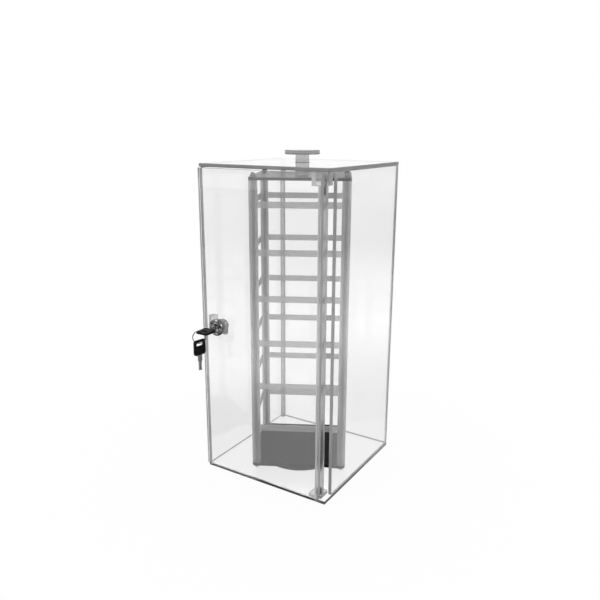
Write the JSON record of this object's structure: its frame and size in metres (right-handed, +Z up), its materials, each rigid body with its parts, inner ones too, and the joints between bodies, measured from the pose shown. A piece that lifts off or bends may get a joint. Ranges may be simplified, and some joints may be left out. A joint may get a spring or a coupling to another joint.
{
  "type": "rotating earring display case",
  "caption": "Clear locking countertop case with a hinged front door and a revolving tower of card strips, turned by a knob on top.",
  "frame": {"origin": "centre of the base plate's underside", "axes": "+Z up, -Y out of the door, +X towards the door's hinge"},
  "size_m": [0.21, 0.2576, 0.4855],
  "materials": {
    "clear_sheet": "clear polished sheet",
    "clear_strip": "clear polished strip",
    "clear_tube": "clear polished tube",
    "black_sheet": "black polished sheet",
    "black_plastic": "black moulded",
    "slip_plastic": "white slippery plastic",
    "steel": "plain steel",
    "chrome": "bright plated",
    "key_grip": "black moulded grip",
    "key_steel": "nickel plated"
  },
  "bodies": {
    "case": {"base_plate": "clear_sheet", "back_panel": "clear_sheet", "left_panel": "clear_sheet", "right_panel": "clear_sheet", "top_plate": "clear_sheet", "corner_bar": "clear_sheet", "pivot_block_lower": "clear_sheet", "pivot_block_upper": "clear_sheet", "strike_block": "clear_sheet", "turntable_foot": "black_plastic", "slip_ring": "slip_plastic"},
    "door": {"door_panel": "clear_sheet", "hinge_rod": "clear_sheet", "hinge_pins": "steel", "lock_body": "chrome", "lock_nut": "chrome"},
    "lock": {"lock_plug": "chrome", "lock_cam": "chrome", "cam_screw": "steel"},
    "key": {"key_blade": "key_steel", "key_head": "key_grip"},
    "key_ring": {"key_ring": "chrome"},
    "spare_key": {"spare_key_blade": "key_steel", "spare_key_head": "key_grip"},
    "tower": {"turntable_disc": "black_plastic", "tower_lower_plate": "black_sheet", "tower_upper_plate": "black_sheet", "tie_rods": "steel", "cap_nuts": "chrome", "lower_nuts": "steel", "post_tube_front_left": "clear_tube", "post_tube_front_right": "clear_tube", "post_tube_back_right": "clear_tube", "post_tube_back_left": "clear_tube", "card_strip_1_front": "clear_strip", "card_strip_1_right": "clear_strip", "card_strip_1_back": "clear_strip", "card_strip_1_left": "clear_strip", "card_strip_2_front": "clear_strip", "card_strip_2_right": "clear_strip", "card_strip_2_back": "clear_strip", "card_strip_2_left": "clear_strip", "card_strip_3_front": "clear_strip", "card_strip_3_right": "clear_strip", "card_strip_3_back": "clear_strip", "card_strip_3_left": "clear_strip", "card_strip_4_front": "clear_strip", "card_strip_4_right": "clear_strip", "card_strip_4_back": "clear_strip", "card_strip_4_left": "clear_strip", "card_strip_5_front": "clear_strip", "card_strip_5_right": "clear_strip", "card_strip_5_back": "clear_strip", "card_strip_5_left": "clear_strip", "card_strip_6_front": "clear_strip", "card_strip_6_right": "clear_strip", "card_strip_6_back": "clear_strip", "card_strip_6_left": "clear_strip", "knob_post": "clear_sheet", "knob_disc": "clear_sheet"}
  },
  "joints": [
    {"name": "door_hinge", "type": "hinge", "parent": "case", "child": "door", "pos_m": [0.092, -0.097, 0.234], "axis": [0, 0, 1], "range_deg": [0, 95]},
    {"name": "lock_turn", "type": "hinge", "parent": "door", "child": "lock", "pos_m": [-0.079, -0.1, 0.233], "axis": [0, 1, 0], "range_deg": [0, 90]},
    {"name": "key_pull", "type": "slide", "parent": "lock", "child": "key", "axis": [0, -1, 0], "range_m": [0, 0.014]},
    {"name": "ring_swing", "type": "hinge", "parent": "key", "child": "key_ring", "pos_m": [-0.0838, -0.142, 0.2359], "axis": [0.682, 0.7314, 0], "range_deg": [-10, 10]},
    {"name": "spare_swing", "type": "hinge", "parent": "key_ring", "child": "spare_key", "pos_m": [-0.0838, -0.142, 0.2173], "axis": [0.682, 0.7314, 0], "range_deg": [-15, 15]},
    {"name": "tower_turn", "type": "hinge", "parent": "case", "child": "tower", "pos_m": [0, 0, 0.02], "axis": [0, 0, 1], "continuous": true}
  ]
}
